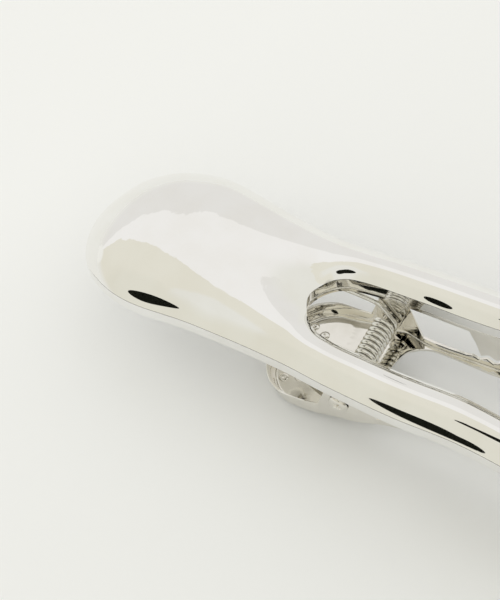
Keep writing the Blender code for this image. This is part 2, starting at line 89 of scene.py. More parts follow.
# Bracket under the shell, and its ears
BRACKET_START_X = -30.0 * MM
BRACKET_END_X = 70.0 * MM
BRACKET_SHEET = 0.8 * MM
BRACKET_LIP = 0.5 * MM
BRACKET_BEND = 0.3 * MM
EAR_INNER_Y = 9.5 * MM
EAR_OUTER_Y = 10.1 * MM
EAR_TOP_REAR_X = -2.4 * MM
EAR_TOP_FRONT_X = 4.2 * MM
EAR_LOW_RADIUS = 2.6 * MM
EAR_POINTS = 96
EDGE_ROUND = 0.12 * MM
TEETH_START_X = 16.0 * MM
TEETH_END_X = 56.0 * MM
TOOTH = 1.1 * MM
TOOTH_PITCH = 3.0 * MM
JAW_GAP = 0.6 * MM

# Lower lever
STAMPING_STEP = 0.5 * MM
LEVER_FLOOR_COLUMNS = 16
SLOT_ROUND = 0.08 * MM
TRAY_WALL = 3.2 * MM
TRAY_FLARE = 1.1 * MM
FLARE_LENGTH = 6.0 * MM
FLOOR_BEND = 0.8 * MM
RAIL_BEND = 0.35 * MM
SLOT_FAN_X = 7.5 * MM
JAW_FLANGE = 1.3 * MM
TOOTHED_FLANGE = 2.2 * MM
LEVER_EAR_TOP = 6.4 * MM
EAR_REAR_FOOT_X = -4.2 * MM
EAR_REAR_TOP_X = -2.0 * MM
EAR_FRONT_TOP_X = 2.2 * MM
EAR_FRONT_FOOT_X = 7.2 * MM
BEND_REAR_X = -7.0 * MM
BEND_FRONT_X = 4.0 * MM
BUMP_RADIUS = 1.05 * MM
BUMP_HEIGHT = 0.4 * MM
BUMP_DIMPLE = 0.16 * MM
BUMP_ROOT = 0.2 * MM
BUMP_SINK = 0.12 * MM
BUMP_SPOTS = [(-13.8 * MM, 6.4 * MM), (-11.0 * MM, 5.2 * MM), (-15.0 * MM, 2.2 * MM)]

# Hinge
PIN_RADIUS = 1.1 * MM
HOLE_RADIUS = 1.19 * MM
HEAD_RADIUS = 1.95 * MM
HEAD_HEIGHT = 0.9 * MM
HEAD_DIMPLE = 0.4 * MM
STAR_DEPTH = 0.25 * MM
STAR_POINTS = 5
PIN_INNER_Y = 11.35 * MM
PEENED_RADIUS = 1.6 * MM
PEENED_HEIGHT = 0.8 * MM
PEENED_DIMPLE = 0.1 * MM
WIRE_RADIUS = 0.48 * MM
COIL_RADIUS = 1.87 * MM
COIL_PITCH = 1.08 * MM
COIL_TURNS = 15.4
COIL_POINTS = 40
ARM_POINTS = 12
COIL_NEAR_Y = -8.3 * MM
COIL_FAR_Y = 8.7 * MM
LOWER_ARM = [(-8.9 * MM, -5.5 * MM), (-4.5 * MM, -7.2 * MM)]
UPPER_ARM = [
    (-1.9 * MM, 8.72 * MM, 4.7 * MM), (-5.9 * MM, 8.6 * MM, 5.3 * MM), (-10.5 * MM, 7.9 * MM, 6.0 * MM)]

# Rivets that hold the bracket to the shell
RIVET_RADIUS = 1.0 * MM
RIVET_HEAD_RADIUS = 1.8 * MM
RIVET_HEAD_HEIGHT = 0.8 * MM
RIVET_DIMPLE = 0.1 * MM
RIVET_PEENED_RADIUS = 1.6 * MM
RIVET_PEENED_HEIGHT = 0.5 * MM
RIVET_SLACK = 0.55 * MM
RIVET_SPOTS = {
    "shell_rivet_rear": (-21.0 * MM, 0.0),
    "shell_rivet_left": (8.0 * MM, 10.9 * MM),
    "shell_rivet_right": (8.0 * MM, -10.9 * MM),
}

# Camera: its direction in degrees, its lens, and where the hinge lies from it
CAMERA_AZIMUTH = 30.0
CAMERA_ELEVATION = 57.0
CAMERA_ROLL = -1.5
CAMERA_LENS = 96.0
CAMERA_SENSOR = 36.0
CAMERA_CLIP = 0.01
HINGE_RIGHT = 21.48 * MM
HINGE_UP = -10.56 * MM
HINGE_AHEAD = 296.3 * MM

# Studio colours
CREAM_CARD = (0.82, 0.80, 0.705)
WARM_CARD = (0.79, 0.775, 0.68)
PALE_CARD = (0.84, 0.835, 0.78)
WHITE_PANEL = (0.93, 0.92, 0.90)
GREY_WALL = (0.835, 0.825, 0.80)
PAPER_GLOW = (0.92, 0.92, 0.88)
DIM_ROOM = (0.34, 0.33, 0.29)
FAR_PAPER = (0.86, 0.86, 0.82)
BLACK_CARD = (0.012, 0.013, 0.010)

# Studio layout: the strip overhead (its edges and their turn along it, in degrees), and the horizon
STRIP_LOW = 6.0
STRIP_LOW_TURN = 21.0
STRIP_HIGH = 36.0
STRIP_HIGH_TURN = 10.0
STRIP_SOFTNESS = 0.8
FINE_RAGGEDNESS = 9.0
BROAD_RAGGEDNESS = 16.0
STRIP_END = (0.05, 0.25)
HORIZON_BLEND = 0.13

# Black cards (mm): the place on the dome that shows the card's middle, from the hinge; how far away
# the card stands from there; its half length and half width; and its turn in degrees
FLAGS = {
    "flag_thumb_end": ((-36.7, -14.9), 28.0, 14.5, 4.5, 25.0),
    "flag_near_limb": ((18.5, -15.2), 84.0, 9.0, 17.0, 64.0),
    "flag_loop_end": ((-8.2, 7.3), 136.0, 37.0, 13.0, -3.0),
    "flag_far_limb": ((9.5, 8.3), 12.0, 1.6, 2.4, -90.0),
}
SURFACE_PROBE = 0.2 * MM

# Table paper: painted shade darkens it a little along one direction, between two places on it
PAPER_HALF_SIZE = 2.5
PAPER_LIGHT = (0.905, 0.915, 0.93)
PAPER_PAINTED_SHADE = (0.84, 0.85, 0.86)
PAPER_SHADE_DIRECTION = (0.92, -0.39, 0.0)
PAPER_SHADE_START = -90.0 * MM
PAPER_SHADE_END = 60.0 * MM

# Plating detail: noise and pit scales per metre, and the depth of polishing lines
TONE_SCALE = 140.0
HAZE_SCALE = 260.0
WAVE_SCALE = 75.0
PIT_SCALE = 420.0
PIT_SIZE = 0.09
GRAIN_SCALE = 1000.0
GRAIN_DEPTH = 0.004 * MM


# ---------------------------------------------------------------- outlines and heights

def smooth_curve(stations):
    """A cubic through (x, value) stations, with slopes taken from the neighbours."""
    xs = np.array([s[0] for s in stations]) * MM
    values = np.array([s[1] for s in stations])
    slopes = np.gradient(values, xs)

    def evaluate(x):
        x = np.clip(np.asarray(x, dtype=float), xs[0], xs[-1])
        i = np.clip(np.searchsorted(xs, x) - 1, 0, len(xs) - 2)
        h = xs[i + 1] - xs[i]
        t = (x - xs[i]) / h
        a = (1 + 2 * t) * (1 - t) ** 2
        b = t * (1 - t) ** 2
        c = t * t * (3 - 2 * t)
        d = t * t * (t - 1)
        return a * values[i] + b * h * slopes[i] + c * values[i + 1] + d * h * slopes[i + 1]

    return evaluate


class Outline:
    """A closed outline, symmetric about the X axis, given by its half-width along X (mm)."""

    def __init__(self, start, end, widths, power=0.5):
        self.start = start
        self.end = end
        self.power = power
        ratios = []
        for x, half in widths:
            ratios.append((x, half * MM / self.envelope(x * MM)))
        self.ratio = smooth_curve(ratios)

    def envelope(self, x):
        reach = np.maximum((x - self.start) * (self.end - x), 0.0)
        return reach ** self.power

    def half_width(self, x):
        return self.ratio(x) * self.envelope(x)

    def half(self, step):
        """Points of the +Y half, from start to end, at an even spacing along the outline."""
        angle = np.linspace(0.0, math.pi, OUTLINE_SAMPLES)
        x = self.start + (self.end - self.start) * 0.5 * (1 - np.cos(angle))
        y = self.half_width(x)
        length = np.concatenate([[0.0], np.cumsum(np.hypot(np.diff(x), np.diff(y)))])
        count = int(round(length[-1] / step))
        at = np.linspace(0.0, length[-1], count + 1)
        return np.column_stack([np.interp(at, length, x), np.interp(at, length, y)])

    def half_length(self, x):
        """Length along the +Y half up to x."""
        fine, length = self.measured_half()
        return np.interp(x, fine[:, 0], length)

    def measured_half(self):
        """Fine points of the +Y half, and the length along it at each."""
        fine = self.half(FINE_STEP)
        length = np.concatenate([[0.0], np.cumsum(np.hypot(*np.diff(fine, axis=0).T))])
        return fine, length

    def point_at(self, at):
        """The points that lie at given lengths along the +Y half."""
        fine, length = self.measured_half()
        return np.column_stack([np.interp(at, length, fine[:, 0]), np.interp(at, length, fine[:, 1])])


SHELL = Outline(TAIL_X, TIP_X, [
    (-57, 3.8), (-54, 9.9), (-50, 13.2), (-45, 15.4), (-39, 16.3), (-30, 15.5), (-20, 14.6),
    (-12, 14.4), (0, 15.3), (12, 15.9), (24, 16.0), (38, 16.8), (55, 15.2), (70, 9.6), (76, 4.0)])
OPENING = Outline(OPENING_START_X, OPENING_END_X, [
    (-11.6, 1.9), (-10.3, 4.2), (-8.5, 5.8), (-5, 6.9), (0, 7.3), (10, 7.6), (20, 7.6), (35, 8.9),
    (50, 8.4), (60, 5.6), (65, 2.3)])
BRACKET = Outline(BRACKET_START_X, BRACKET_END_X, [
    (-29, 3.2), (-20, 10.4), (0, 12.4), (20, 13.4), (38, 14.2), (55, 12.0), (66, 6.6), (69.5, 2.2)])
BRACKET_OPENING = Outline(OPENING_START_X - BRACKET_LIP, OPENING_END_X, [
    (-12, 2.8), (-10, 5.7), (-8, 7.1), (-5, 8.0), (0, 8.5), (10, 8.7), (20, 8.7), (35, 9.9),
    (50, 9.3), (60, 6.4), (65, 2.6)])
LEVER = Outline(LEVER_TAIL_X, LEVER_TIP_X, [
    (-18, 4.8), (-17, 7.5), (-15, 9.8), (-12, 11.3), (-8, 11.5), (-4, 11.3), (0, 11.05), (3, 11.05),
    (8, 10.0), (20, 9.4), (35, 10.6), (50, 9.9), (62, 6.9), (70, 3.0)], power=0.36)
SLOT = Outline(SLOT_START_X, SLOT_END_X, [
    (4.6, 3.4), (5.3, 5.7), (6.7, 7.2), (8.5, 8.1), (12, 8.3), (20, 7.7), (35, 8.8), (50, 8.1),
    (58, 5.2), (63, 2.0)], power=0.4)

# Heights above the hinge axis (mm): the shell's parting line, and the lever's floor
PARTING_LINE = smooth_curve([
    (-57.5, 6.6), (-50, 9.4), (-42, 11.0), (-36, 11.9), (-30, 12.0), (-22, 11.4), (-14, 11.1),
    (-6, 11.4), (2, 12.0), (12, 12.8), (24, 14.2), (34, 14.5), (45, 12.9), (60, 7.6), (70, 2.2),
    (77, -2.6)])
JAW_FLOOR = smooth_curve([
    (4, -3.5), (8, -2.5), (12, -1.5), (20, 0.0), (31, 1.0), (45, 0.2), (58, -3.2), (69, -9.3), (72, -9.6)])
TRAY_TAIL_Z = -9.8 * MM
TRAY_SLOPE = 0.2


def parting_z(x):
    return PARTING_LINE(x) * MM


def lever_floor_z(x):
    """Top of the lever's sheet: a flat tray, a short ramp under the hinge, and the arched jaw."""
    x = np.asarray(x, dtype=float)
    tray = TRAY_TAIL_Z + TRAY_SLOPE * (x - LEVER_TAIL_X)
    tray_end = TRAY_TAIL_Z + TRAY_SLOPE * (BEND_REAR_X - LEVER_TAIL_X)
    jaw_start = float(JAW_FLOOR(BEND_FRONT_X)) * MM
    share = np.clip((x - BEND_REAR_X) / (BEND_FRONT_X - BEND_REAR_X), 0.0, 1.0)
    ramp = tray_end + (jaw_start - tray_end) * share
    return np.where(x < BEND_REAR_X, tray, np.where(x > BEND_FRONT_X, JAW_FLOOR(x) * MM, ramp))


def edge_reaches(x, y):
    """How far a point lies inside the shell's outer edge, and how far from its opening."""
    outer = (SHELL.half_width(x) ** 2 - y ** 2) / (2 * OUTER_REFERENCE)
    inner = (y ** 2 - OPENING.half_width(x) ** 2) / (2 * INNER_REFERENCE)
    behind = (OPENING_START_X - x) * (OPENING_END_X - x) / (2 * INNER_REFERENCE)
    past = (x < OPENING_START_X) | (x > OPENING_END_X)
    ratio = OPENING.ratio(x)
    inner = np.where(past, (y ** 2) / (2 * INNER_REFERENCE) + np.abs(behind) * ratio ** 2, inner)
    return np.maximum(outer, 0.0), np.maximum(inner, 0.0)


def shell_base_z(x, y):
    """The surface that the shell's edges lie in: it rises from the outer edge to the opening."""
    outer, inner = edge_reaches(x, y)
    return parting_z(x) + INNER_RISE * outer / (outer + inner + 1e-9)


def shell_floor_z(x, y):
    """Underside of the shell."""
    return shell_base_z(x, y) - SKIRT


def dome_height(x, y):
    """Height of the shell's dome above the surface of its edges."""
    outer, inner = edge_reaches(x, y)
    reach = outer + inner - np.hypot(outer, inner)
    return DOME_LIMIT * (1 - np.exp(-DOME_EDGE_SLOPE * reach / DOME_LIMIT))


def mirrored_ring(half):
    """The +Y half of an outline and its mirror image, as one closed ring of points."""
    back = half[-2:0:-1] * np.array([1.0, -1.0])
    return np.vstack([half, back])


def paired_rings(outer, inner, step, rear_x, front_x):
    """Rings round two outlines, point for point.

    Between rear_x and front_x the pairs share their x. Past those they fan round the ends.
    """
    outer_half = outer.half(step)
    x = outer_half[:, 0]
    at_outer = outer.half_length(x)
    rear = inner.half_length(rear_x) / outer.half_length(rear_x)
    outer_end = outer.half_length(outer.end)
    inner_end = inner.half_length(inner.end)
    front = (inner_end - inner.half_length(front_x)) / (outer_end - outer.half_length(front_x))
    at = np.where(x < rear_x, at_outer * rear, inner.half_length(x))
    at = np.where(x > front_x, inner_end - (outer_end - at_outer) * front, at)
    inner_half = inner.point_at(at)
    inner_half[0] = (inner.start, 0.0)
    inner_half[-1] = (inner.end, 0.0)
    return mirrored_ring(outer_half), mirrored_ring(inner_half)


def along(outer, inner, distance):
    """Points that lie a distance (or one for each point) from the outer ring towards the inner."""
    span = inner - outer
    unit = span / np.linalg.norm(span, axis=1)[:, None]
    return outer + unit * np.reshape(distance, (-1, 1))


def between(outer, inner, share):
    return outer + (inner - outer) * np.reshape(share, (-1, 1))


def base_between(outer, inner, share):
    """Height of the edges' surface between the rings, with each ring exactly on its own edge."""
    points = between(outer, inner, share)
    if share == 0.0:
        return parting_z(points[:, 0])
    if share == 1.0:
        return parting_z(points[:, 0]) + INNER_RISE
    return shell_base_z(points[:, 0], points[:, 1])


def lift(points, heights):
    return np.column_stack([points, heights])


def ring_body(columns):
    """A closed mesh from closed rings: each ring is joined to the next, and the last to the first."""
    mesh = bmesh.new()
    rows = [[mesh.verts.new(p) for p in column] for column in columns]
    ring_count = len(rows)
    point_count = len(rows[0])
    for i in range(ring_count):
        here = rows[i]
        there = rows[(i + 1) % ring_count]
        for j in range(point_count):
            k = (j + 1) % point_count
            mesh.faces.new((here[j], here[k], there[k], there[j]))
    bmesh.ops.recalc_face_normals(mesh, faces=mesh.faces)
    return mesh


def round_bend(start, corner, end, count=5):
    """Rings on a round bend between two rings, past a corner ring. The two ends are left out."""
    rings = []
    for i in range(1, count + 1):
        t = i / (count + 1)
        rings.append((1 - t) ** 2 * start + 2 * t * (1 - t) * corner + t * t * end)
    return rings


def saw_tooth(points):
    """0 to 1 and back along a ring, once for each tooth."""
    steps = np.linalg.norm(np.roll(points, -1, axis=0) - points, axis=1)
    length = np.concatenate([[0.0], np.cumsum(steps)[:-1]])
    half = len(points) // 2
    length[half + 1:] = length[1:half][::-1]
    return np.abs((length / TOOTH_PITCH) % 1.0 * 2.0 - 1.0)


# ---------------------------------------------------------------- making objects

def make_piece(name, mesh, material, body, node, sharp_angle=40.0):
    """A finely built piece that stands for a CAD node. It rides on a body, unless body is None."""
    data = bpy.data.meshes.new(name)
    mesh.to_mesh(data)
    mesh.free()
    data.shade_smooth()
    data.set_sharp_from_angle(angle=math.radians(sharp_angle))
    data.materials.append(material)
    item = bpy.data.objects.new(name, data)
    item.location = HINGE
    bpy.context.scene.collection.objects.link(item)
    bpy.context.view_layer.update()
    if body:
        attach(item, body)
    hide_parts(node)
    return item


def join_into(mesh, other):
    """Adds another bmesh's geometry to a bmesh."""
    data = bpy.data.meshes.new("join")
    other.to_mesh(data)
    other.free()
    mesh.from_mesh(data)
    bpy.data.meshes.remove(data)


def turned(profile, axis, at, segments=64, ripple=None):
    """A body turned round an axis ("Y" or "Z") from (radius, along) points, moved to a place."""
    mesh = bmesh.new()
    rows = []
    for radius, along_axis in profile[1:-1]:
        row = []
        for i in range(segments):
            angle = 2 * math.pi * i / segments
            extra = ripple(radius, angle) if ripple else 0.0
            spot = (radius * math.cos(angle), radius * math.sin(angle), along_axis + extra)
            row.append(mesh.verts.new(spot))
        rows.append(row)
    first = mesh.verts.new((0.0, 0.0, profile[0][1]))
    last = mesh.verts.new((0.0, 0.0, profile[-1][1]))
    for i in range(segments):
        j = (i + 1) % segments
        mesh.faces.new((first, rows[0][j], rows[0][i]))
        mesh.faces.new((last, rows[-1][i], rows[-1][j]))
        for here, there in zip(rows, rows[1:]):
            mesh.faces.new((here[i], here[j], there[j], there[i]))
    if axis == "Y":
        bmesh.ops.rotate(mesh, verts=mesh.verts, matrix=Matrix.Rotation(math.radians(-90), 3, "X"))
    bmesh.ops.translate(mesh, verts=mesh.verts, vec=at)
    bmesh.ops.recalc_face_normals(mesh, faces=mesh.faces)
    return mesh


def dome_profile(radius, base, height, count=8, dimple=0.0):
    """(radius, along) points of a domed head, from its crown out to its rim."""
    points = [(0.0, base + height - dimple)]
    for i in range(1, count):
        angle = 0.5 * math.pi * i / count
        sunk = dimple * math.exp(-(math.sin(angle) / 0.35) ** 2)
        points.append((radius * math.sin(angle), base + height * math.cos(angle) - sunk))
    points.append((radius, base))
    return points


# ---------------------------------------------------------------- pieces

def build_top_shell(material):
    """The domed upper skin: its outside, and its inside one sheet lower."""
    outer, inner = paired_rings(SHELL, OPENING, SHELL_STEP, REAR_FAN_X, FRONT_FAN_X)
    shares = 0.5 - 0.5 * np.cos(np.linspace(0.0, math.pi, DOME_COLUMNS + 1))

    def dome(outer_ring, inner_ring, share, drop):
        points = between(outer_ring, inner_ring, share)
        height = np.maximum(dome_height(points[:, 0], points[:, 1]) - drop, 0.0)
        if share in (shares[0], shares[-1]):
            height = 0.0 * height
        return lift(points, base_between(outer_ring, inner_ring, share) + height)

    columns = [dome(outer, inner, share, 0.0) for share in shares]
    rims = (along(outer, inner, SHEET), along(inner, outer, SHEET))
    columns += [dome(*rims, share, SHEET) for share in shares[::-4]]
    return make_piece("top_shell_skin", ring_body(columns), material, "upper", "top_shell", 55.0)


def build_under_shell(material):
    """The lower half of the shell: side walls with a rounded lower edge, and a floor."""
    outer, inner = paired_rings(SHELL, OPENING, SHELL_STEP, REAR_FAN_X, FRONT_FAN_X)
    outer_in = along(outer, inner, SHEET)
    inner_in = along(inner, outer, SHEET)
    outer_low = along(outer, inner, SKIRT_BEVEL)
    inner_low = along(inner, outer, SKIRT_BEVEL)

    def edge(points, drop, rise=0.0):
        return lift(points, parting_z(points[:, 0]) + rise - drop)

    def floor(share, above):
        return lift(between(outer, inner, share), base_between(outer, inner, share) - SKIRT + above)

    side = edge(outer, SKIRT - SKIRT_BEVEL)
    low = edge(outer_low, SKIRT)
    inner_side = edge(inner, SKIRT - SKIRT_BEVEL, INNER_RISE)
    inner_foot = edge(inner_low, SKIRT, INNER_RISE)
    columns = [edge(outer, SEAM), side, *round_bend(side, edge(outer, SKIRT), low), low]
    columns += [floor(share, 0.0) for share in SHELL_FLOOR_SHARES]
    columns += [inner_foot, *round_bend(inner_foot, edge(inner, SKIRT, INNER_RISE), inner_side)]
    columns += [inner_side, edge(inner, SEAM, INNER_RISE), edge(inner_in, SEAM, INNER_RISE)]
    columns += [edge(inner_in, SKIRT - SHEET, INNER_RISE)]
    columns += [floor(share, SHEET) for share in HOLLOW_FLOOR_SHARES]
    columns += [edge(outer_in, SKIRT - SHEET), edge(outer_in, SEAM)]
    return make_piece("under_shell_skin", ring_body(columns), material, "upper", "under_shell")


def plate_z(x):
    """Top of the bracket's plate, just under the outer edge of the shell's floor."""
    return parting_z(x) - SKIRT - GAP


def bracket_ear(low, high):
    """One ear: a rounded plate with the hinge hole through it, and slightly rounded edges."""
    top = float(plate_z(0.0)) - 0.5 * BRACKET_SHEET
    corners = [(EAR_TOP_FRONT_X, top), (EAR_TOP_REAR_X, top)]
    for turn in np.radians(range(-170, -9, 5)):
        corners.append((EAR_LOW_RADIUS * math.cos(turn), EAR_LOW_RADIUS * math.sin(turn)))
    corners = np.array(corners)
    ends = np.roll(corners, -1, axis=0)
    lengths = np.linalg.norm(ends - corners, axis=1)
    marks = np.concatenate([[0.0], np.cumsum(lengths)])
    closed = np.vstack([corners, corners[:1]])
    at = np.linspace(0.0, marks[-1], EAR_POINTS, endpoint=False)
    outline = np.column_stack([np.interp(at, marks, closed[:, 0]), np.interp(at, marks, closed[:, 1])])
    angle = np.unwrap(np.arctan2(outline[:, 1], outline[:, 0]))
    hole = HOLE_RADIUS * np.column_stack([np.cos(angle), np.sin(angle)])

    def ring(points, y):
        return np.column_stack([points[:, 0], np.full(len(points), y), points[:, 1]])

    shrunk = outline * (1 - EDGE_ROUND / EAR_LOW_RADIUS)
    columns = [ring(outline, low + EDGE_ROUND), ring(outline, high - EDGE_ROUND), ring(shrunk, high)]
    columns += [ring(hole, high), ring(hole, low), ring(shrunk, low)]
    return ring_body(columns)


def build_upper_bracket(material):
    """The plate under the shell, its toothed flange round the opening, and the two ears."""
    outer, inner = paired_rings(BRACKET, BRACKET_OPENING, STAMPING_STEP, REAR_FAN_X, FRONT_FAN_X)
    lip = along(inner, outer, BRACKET_SHEET)
    x = inner[:, 0]
    rise = np.clip(np.minimum(x - TEETH_START_X, TEETH_END_X - x) / TOOTH_PITCH, 0.0, 1.0)
    jaw_top = lever_floor_z(x) + TOOTHED_FLANGE + JAW_GAP + TOOTH * (1 - saw_tooth(inner))
    plain = plate_z(x) - BRACKET_SHEET - BRACKET_BEND
    foot = plain + (jaw_top - plain) * rise

    def plate(points, drop=0.0):
        return lift(points, plate_z(points[:, 0]) - drop)

    middle = between(outer, inner, 0.5)
    corner = plate(inner)
    bend_start = plate(along(inner, outer, 0.5 * BRACKET_SHEET))
    bend_end = lift(inner, plate_z(x) - 0.5 * BRACKET_SHEET)
    columns = [plate(outer), plate(middle), bend_start]
    columns += [*round_bend(bend_start, corner, bend_end), bend_end, lift(inner, foot)]
    columns += [lift(lip, foot), plate(lip, BRACKET_SHEET)]
    columns += [plate(middle, BRACKET_SHEET), plate(outer, BRACKET_SHEET)]
    mesh = ring_body(columns)
    join_into(mesh, bracket_ear(EAR_INNER_Y, EAR_OUTER_Y))
    join_into(mesh, bracket_ear(-EAR_OUTER_Y, -EAR_INNER_Y))
    return make_piece("upper_bracket_skin", mesh, material, "upper", "upper_bracket")


def build_rivet(name, x, y, material):
    """A rivet with its domed head below the bracket and its peened end inside the shell."""
    low = float(plate_z(x)) - BRACKET_SHEET - RIVET_SLACK
    high = float(shell_floor_z(x, y)) + SHEET + RIVET_SLACK
    head = dome_profile(RIVET_HEAD_RADIUS, -low, RIVET_HEAD_HEIGHT, dimple=RIVET_DIMPLE)
    profile = [(radius, -along_axis) for radius, along_axis in head]
    profile += [(RIVET_RADIUS, low), (RIVET_RADIUS, high), (RIVET_PEENED_RADIUS, high)]
    profile += [(0.8 * RIVET_PEENED_RADIUS, high + 0.8 * RIVET_PEENED_HEIGHT)]
    profile += [(0.0, high + RIVET_PEENED_HEIGHT)]
    mesh = turned(profile, "Z", (x, y, 0.0), segments=40)
    return make_piece(name + "_skin", mesh, material, "upper", name)


def lever_wall_top(x, teeth):
    """Height of the lever's turned-up wall: tray rim, hinge ear, jaw flange and saw teeth."""
    floor = lever_floor_z(x)
    rim = floor + TRAY_WALL
    flange = floor + JAW_FLANGE
    rise = np.clip(np.minimum(x - TEETH_START_X, TEETH_END_X - x) / TOOTH_PITCH, 0.0, 1.0)
    toothed = flange + (floor + TOOTHED_FLANGE - TOOTH * teeth - flange) * rise
    top = np.where(x < 0.0, rim, toothed)
    rear = (x - EAR_REAR_FOOT_X) / (EAR_REAR_TOP_X - EAR_REAR_FOOT_X)
    front = (EAR_FRONT_FOOT_X - x) / (EAR_FRONT_FOOT_X - EAR_FRONT_TOP_X)
    share = np.clip(np.minimum(rear, front), 0.0, 1.0)
    return top + (np.maximum(LEVER_EAR_TOP, top) - top) * share


def build_lower_lever(material):
    """The lower stamping: tray, hinge ears and slotted jaw in one sheet, with its grip bumps."""
    outer, inner = paired_rings(LEVER, SLOT, STAMPING_STEP, SLOT_FAN_X, FRONT_FAN_X)
    x = outer[:, 0]
    flare = TRAY_FLARE * np.clip((EAR_REAR_FOOT_X - x) / FLARE_LENGTH, 0.0, 1.0)
    bend = RAIL_BEND + (FLOOR_BEND - RAIL_BEND) * np.clip((BEND_FRONT_X - x) / FLARE_LENGTH, 0.0, 1.0)
    foot = along(outer, inner, flare)
    foot_in = along(foot, inner, SHEET)
    bend_in = along(foot_in, inner, bend)
    bend_out = along(foot, inner, bend)
    wall_in = along(outer, inner, SHEET)
    wall_top = lever_wall_top(x, saw_tooth(outer))

    def floor(points, above=0.0):
        return lift(points, np.maximum(lever_floor_z(points[:, 0]) + above, -HINGE_HEIGHT))

    def across(start):
        shares = np.linspace(0.0, 1.0, LEVER_FLOOR_COLUMNS + 1)[1:-1]
        return [between(start, inner, share) for share in shares]

    wall_foot = floor(foot_in, bend)
    floor_edge = floor(bend_in)
    under_edge = floor(bend_out, -SHEET)
    side_foot = floor(foot, bend - SHEET)
    rim_side = lift(outer, wall_top - EDGE_ROUND)
    rim_in = lift(wall_in, wall_top - EDGE_ROUND)
    rim_out_top = lift(along(outer, inner, EDGE_ROUND), wall_top)
    rim_in_top = lift(along(outer, inner, SHEET - EDGE_ROUND), wall_top)
    columns = [rim_side, rim_out_top, rim_in_top, rim_in, wall_foot]
    columns += [*round_bend(wall_foot, floor(foot_in), floor_edge), floor_edge]
    columns += [floor(points) for points in across(bend_in)]
    columns += [floor(inner, -SLOT_ROUND), floor(inner, SLOT_ROUND - SHEET)]
    columns += [floor(points, -SHEET) for points in across(bend_out)[::-1]]
    columns += [under_edge, *round_bend(under_edge, floor(foot, -SHEET), side_foot), side_foot]
    mesh = ring_body(columns)
    for bump_x, bump_y in BUMP_SPOTS:
        for side in (1, -1):
            join_into(mesh, tray_bump(bump_x, side * bump_y))
    return make_piece("lower_lever_skin", mesh, material, "lower", "lower_lever")


def tray_bump(x, y):
    """A low dome pressed up in the tray as a finger grip, with the die's small dimple in it."""
    base = float(lever_floor_z(x)) - BUMP_SINK
    profile = dome_profile(BUMP_RADIUS, 0.0, BUMP_HEIGHT, count=12, dimple=BUMP_DIMPLE)
    profile.append((0.0, -BUMP_ROOT))
    mesh = turned(profile, "Z", (0.0, 0.0, 0.0), segments=40)
    bmesh.ops.rotate(mesh, verts=mesh.verts, matrix=Matrix.Rotation(-math.atan(TRAY_SLOPE), 3, "Y"))
    bmesh.ops.translate(mesh, verts=mesh.verts, vec=(x, y, base))
    return mesh


def build_hinge_pin(material):
    """The pin: a domed head with a small star pressed in it, and a peened far end."""
    def star(radius, angle):
        if radius >= HEAD_RADIUS:
            return 0.0
        reach = math.exp(-(radius / (0.5 * HEAD_RADIUS)) ** 4)
        return STAR_DEPTH * reach * (0.5 + 0.5 * math.cos(STAR_POINTS * angle))

    head = dome_profile(HEAD_RADIUS, PIN_INNER_Y, HEAD_HEIGHT, count=20, dimple=HEAD_DIMPLE)
    profile = [(radius, -along_axis) for radius, along_axis in head]
    profile += [(PIN_RADIUS, -PIN_INNER_Y), (PIN_RADIUS, PIN_INNER_Y)]
    profile += dome_profile(PEENED_RADIUS, PIN_INNER_Y, PEENED_HEIGHT, dimple=PEENED_DIMPLE)[::-1]
    mesh = turned(profile, "Y", (0.0, 0.0, 0.0), ripple=star)
    return make_piece("hinge_pin_skin", mesh, material, "lower", "hinge_pin")


def smooth_route(points, count):
    """A Catmull-Rom curve through points, as one array."""
    ends = [2 * points[0] - points[1], *points, 2 * points[-1] - points[-2]]
    route = []
    for i in range(1, len(ends) - 2):
        a, b, c, d = ends[i - 1:i + 3]
        for t in np.arange(count) / count:
            route.append(0.5 * (2 * b + (c - a) * t + (2 * a - 5 * b + 4 * c - d) * t ** 2
                                + (3 * b - a - 3 * c + d) * t ** 3))
    route.append(ends[-2])
    return route


def spring_path():
    """Lower arm, close-wound coil round the pin, and upper arm, as one line of points."""
    steps = int(COIL_TURNS * COIL_POINTS)
    spare = COIL_FAR_Y - COIL_NEAR_Y - COIL_PITCH * COIL_TURNS
    coil = []
    for i in range(steps + 1):
        angle = 2 * math.pi * i / COIL_POINTS - 0.5 * math.pi
        last_turn = max(0.0, 1.0 + (i - steps) / COIL_POINTS)
        y = COIL_NEAR_Y + COIL_PITCH * i / COIL_POINTS + spare * last_turn
        coil.append(np.array((COIL_RADIUS * math.cos(angle), y, COIL_RADIUS * math.sin(angle))))
    tray_z = float(lever_floor_z(LOWER_ARM[0][0])) + WIRE_RADIUS + GAP
    lower = []
    for share, (x, y) in zip((0.0, 0.5), LOWER_ARM):
        lower.append(np.array((x, y, tray_z + (-COIL_RADIUS - tray_z) * share)))
    upper = [np.array(point) for point in UPPER_ARM]
    near = smooth_route([*lower, coil[0]], ARM_POINTS)[:-1]
    far = smooth_route([coil[-1], *upper], ARM_POINTS)[1:]
    return near + coil + far


def build_torsion_spring(material):
    """The spring's wire, as one piece on no body: its lower arm lies on the lever's tray and its upper arm
    reaches under the shell.
    """
    curve = bpy.data.curves.new("torsion_spring_wire", "CURVE")
    curve.dimensions = "3D"
    curve.bevel_depth = WIRE_RADIUS
    curve.bevel_resolution = 5
    curve.use_fill_caps = True
    points = spring_path()
    spline = curve.splines.new("POLY")
    spline.points.add(len(points) - 1)
    for point, place in zip(spline.points, points):
        point.co = (*place, 1.0)
    guide = bpy.data.objects.new("spring_guide", curve)
    bpy.context.scene.collection.objects.link(guide)
    bpy.context.view_layer.update()
    data = bpy.data.meshes.new_from_object(guide)
    bpy.data.objects.remove(guide)
    mesh = bmesh.new()
    mesh.from_mesh(data)
    bmesh.ops.remove_doubles(mesh, verts=mesh.verts, dist=0.001 * MM)
    spring = make_piece("torsion_spring_wire", mesh, material, None, "torsion_spring", 60.0)
    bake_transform(spring)
    return spring


